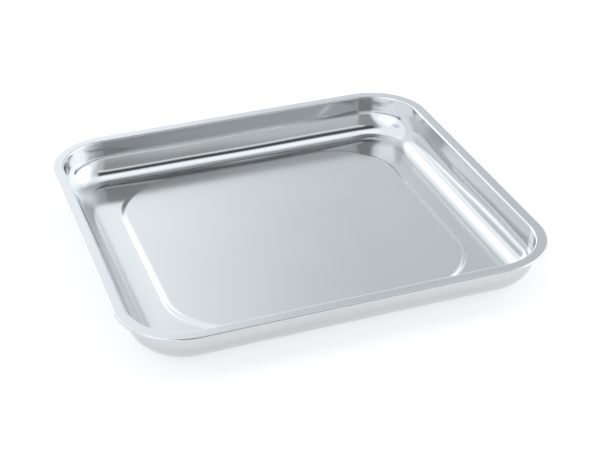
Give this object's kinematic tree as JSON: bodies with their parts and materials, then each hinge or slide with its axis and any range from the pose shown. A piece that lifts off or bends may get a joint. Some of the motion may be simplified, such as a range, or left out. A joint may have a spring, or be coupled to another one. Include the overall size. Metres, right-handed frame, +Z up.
{
  "type": "rectangular metal tray",
  "caption": "Shallow rectangular steel tray with a narrow flange, an edge curled round a wire, rounded corners, a wide bottom radius and a slightly raised centre panel.",
  "frame": {"origin": "centre of the underside, at the level the tray stands on", "axes": "+X along the tray's length, +Y along its depth towards the back edge, +Z up out of its open side"},
  "size_m": [0.4, 0.38, 0.0385],
  "materials": {
    "stainless_sheet": "bright rolled stainless sheet, softly polished, with faint waviness and fine handling marks",
    "steel_wire": "plain drawn steel wire"
  },
  "bodies": {
    "root": {"tray_pan": "stainless_sheet", "rim_wire": "steel_wire"}
  },
  "joints": []
}
